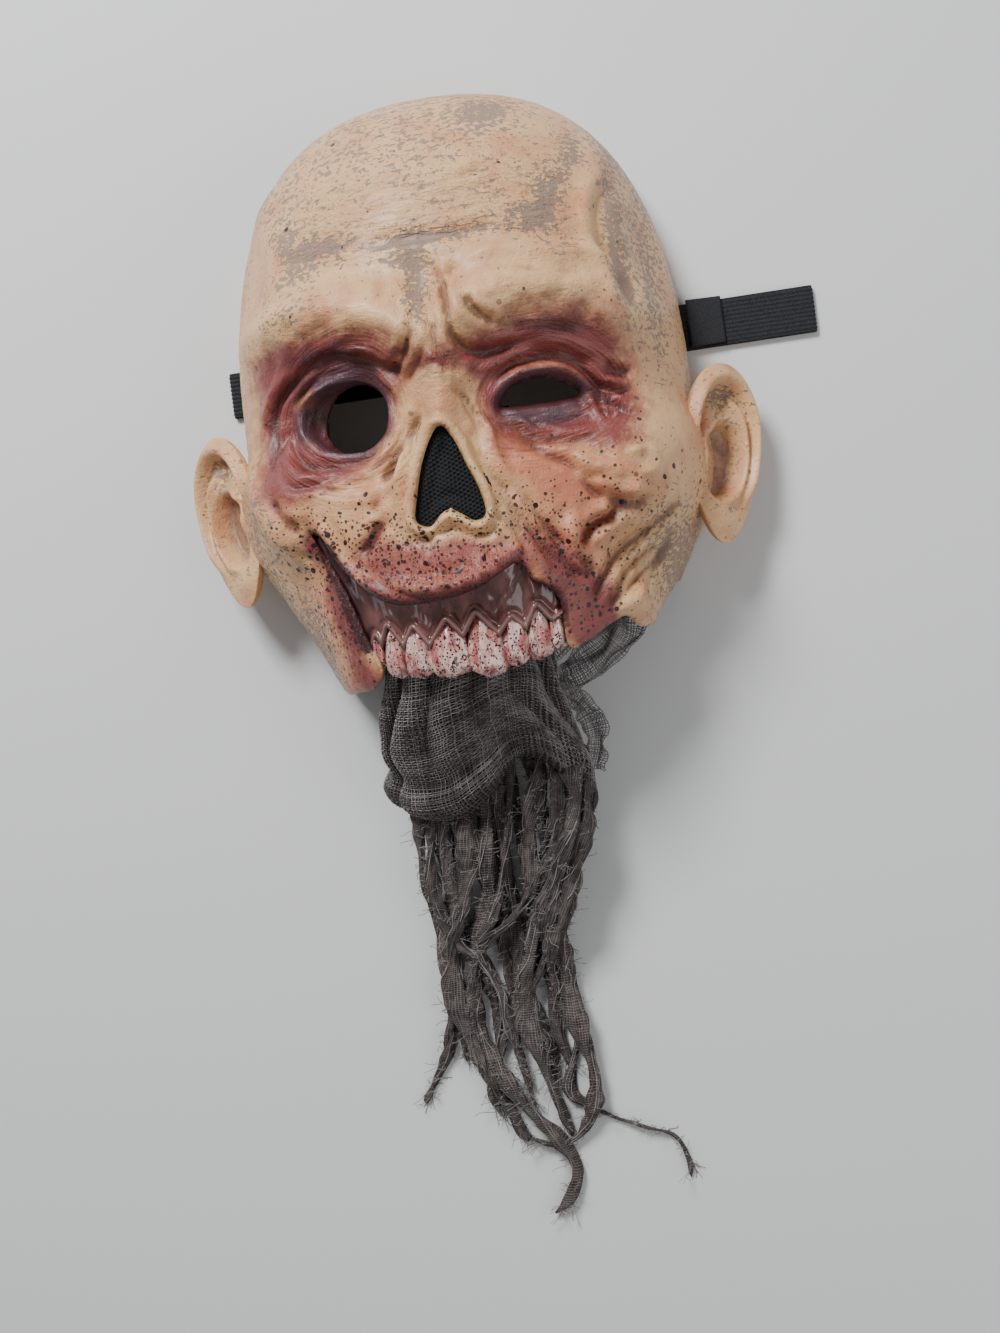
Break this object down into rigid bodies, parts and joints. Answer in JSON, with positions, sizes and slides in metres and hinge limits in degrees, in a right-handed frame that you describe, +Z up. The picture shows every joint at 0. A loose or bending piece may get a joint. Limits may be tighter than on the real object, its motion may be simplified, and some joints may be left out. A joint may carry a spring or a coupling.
{
  "type": "zombie half mask with gauze beard",
  "caption": "Moulded half mask of a bald zombie with open eye holes, meshed nose hole, bare gum and teeth, ears, a torn gauze beard and an elastic head strap, lying face up.",
  "frame": {"origin": "middle of the underside, where the mask's rim and the beard lie on the surface", "axes": "+Z up, out of the face, which looks up; +Y from the beard to the crown; +X to the wearer's left"},
  "size_m": [0.2782, 0.492, 0.0995],
  "materials": {
    "skin": "satin moulded vinyl, sprayed red and grey",
    "knit": "open black knit",
    "gum": "glossy brown red",
    "teeth": "glossy, spattered dark red",
    "elastic": "ribbed black elastic",
    "gauze": "loose grey brown cotton gauze"
  },
  "bodies": {
    "root": {"mask_shell": "skin", "nose_mesh": "knit", "gum": "gum", "teeth": "teeth", "strap": "elastic", "gauze_beard": "gauze"}
  },
  "joints": []
}
